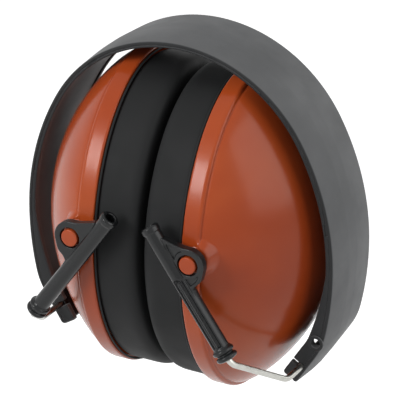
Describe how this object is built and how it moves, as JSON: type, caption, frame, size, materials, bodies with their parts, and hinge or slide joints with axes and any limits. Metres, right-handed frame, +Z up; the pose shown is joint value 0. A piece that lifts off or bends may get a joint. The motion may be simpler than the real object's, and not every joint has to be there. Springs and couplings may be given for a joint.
{
  "type": "earmuff hearing protector",
  "caption": "Folding earmuff: two domed oval cups with black ear cushions on wire forks and sliders, folded up inside a flat channel headband.",
  "frame": {"origin": "centre of the bounding box's base, between the bottoms of the two cups, which stand on it", "axes": "+Z up through the headband's crown, +X to the right cup, -Y the front"},
  "size_m": [0.116, 0.0988, 0.1223],
  "materials": {
    "orange_shell": "glossy moulded ABS",
    "band_plastic": "satin moulded plastic",
    "black_plastic": "semi-gloss moulded plastic",
    "spring_wire": "satin drawn steel",
    "cushion_skin": "matte soft vinyl",
    "foam": "open-cell foam"
  },
  "bodies": {
    "band": {"headband": "band_plastic", "headband_liner": "band_plastic", "hinge_retainer_left": "black_plastic", "hinge_retainer_right": "black_plastic"},
    "fork_left": {"wire_fork_left": "spring_wire"},
    "front_slide_left": {"slider_front_left": "black_plastic"},
    "rear_slide_left": {"slider_rear_left": "black_plastic"},
    "cup_left": {"cup_shell_left": "orange_shell", "seal_plate_left": "black_plastic", "ear_cushion_left": "cushion_skin", "cushion_foam_left": "foam", "damping_foam_left": "foam"},
    "fork_right": {"wire_fork_right": "spring_wire"},
    "front_slide_right": {"slider_front_right": "black_plastic"},
    "rear_slide_right": {"slider_rear_right": "black_plastic"},
    "cup_right": {"cup_shell_right": "orange_shell", "seal_plate_right": "black_plastic", "ear_cushion_right": "cushion_skin", "cushion_foam_right": "foam", "damping_foam_right": "foam"}
  },
  "joints": [
    {"name": "fold_left", "type": "hinge", "parent": "band", "child": "fork_left", "pos_m": [-0.04661, 0, 0.01622], "axis": [0, 1, 0], "range_deg": [0, 140], "deforming": ["ear_cushion_left", "cushion_foam_left"]},
    {"name": "reach_front_left", "type": "slide", "parent": "fork_left", "child": "front_slide_left", "axis": [0.5825, 0, 0.8128], "range_m": [0, 0.008]},
    {"name": "reach_rear_left", "type": "slide", "parent": "fork_left", "child": "rear_slide_left", "axis": [0.5825, 0, 0.8128], "range_m": [0, 0.008]},
    {"name": "tilt_left", "type": "hinge", "parent": "front_slide_left", "child": "cup_left", "pos_m": [-0.02165, 0, 0.0616], "axis": [0, 1, 0], "range_deg": [-140, 0]},
    {"name": "fold_right", "type": "hinge", "parent": "band", "child": "fork_right", "pos_m": [0.04661, 0, 0.01622], "axis": [0, -1, 0], "range_deg": [0, 140], "deforming": ["ear_cushion_right", "cushion_foam_right"]},
    {"name": "reach_front_right", "type": "slide", "parent": "fork_right", "child": "front_slide_right", "axis": [-0.5825, 0, 0.8128], "range_m": [0, 0.008]},
    {"name": "reach_rear_right", "type": "slide", "parent": "fork_right", "child": "rear_slide_right", "axis": [-0.5825, 0, 0.8128], "range_m": [0, 0.008]},
    {"name": "tilt_right", "type": "hinge", "parent": "front_slide_right", "child": "cup_right", "pos_m": [0.02165, 0, 0.0616], "axis": [0, -1, 0], "range_deg": [-140, 0]}
  ],
  "couplings": [
    {"joint": "reach_front_left", "follows": "fold_left", "m_per_rad": 0.003274},
    {"joint": "reach_rear_left", "follows": "fold_left", "m_per_rad": 0.003274},
    {"joint": "tilt_left", "follows": "fold_left", "ratio": -1},
    {"joint": "reach_front_right", "follows": "fold_right", "m_per_rad": 0.003274},
    {"joint": "reach_rear_right", "follows": "fold_right", "m_per_rad": 0.003274},
    {"joint": "tilt_right", "follows": "fold_right", "ratio": -1}
  ]
}
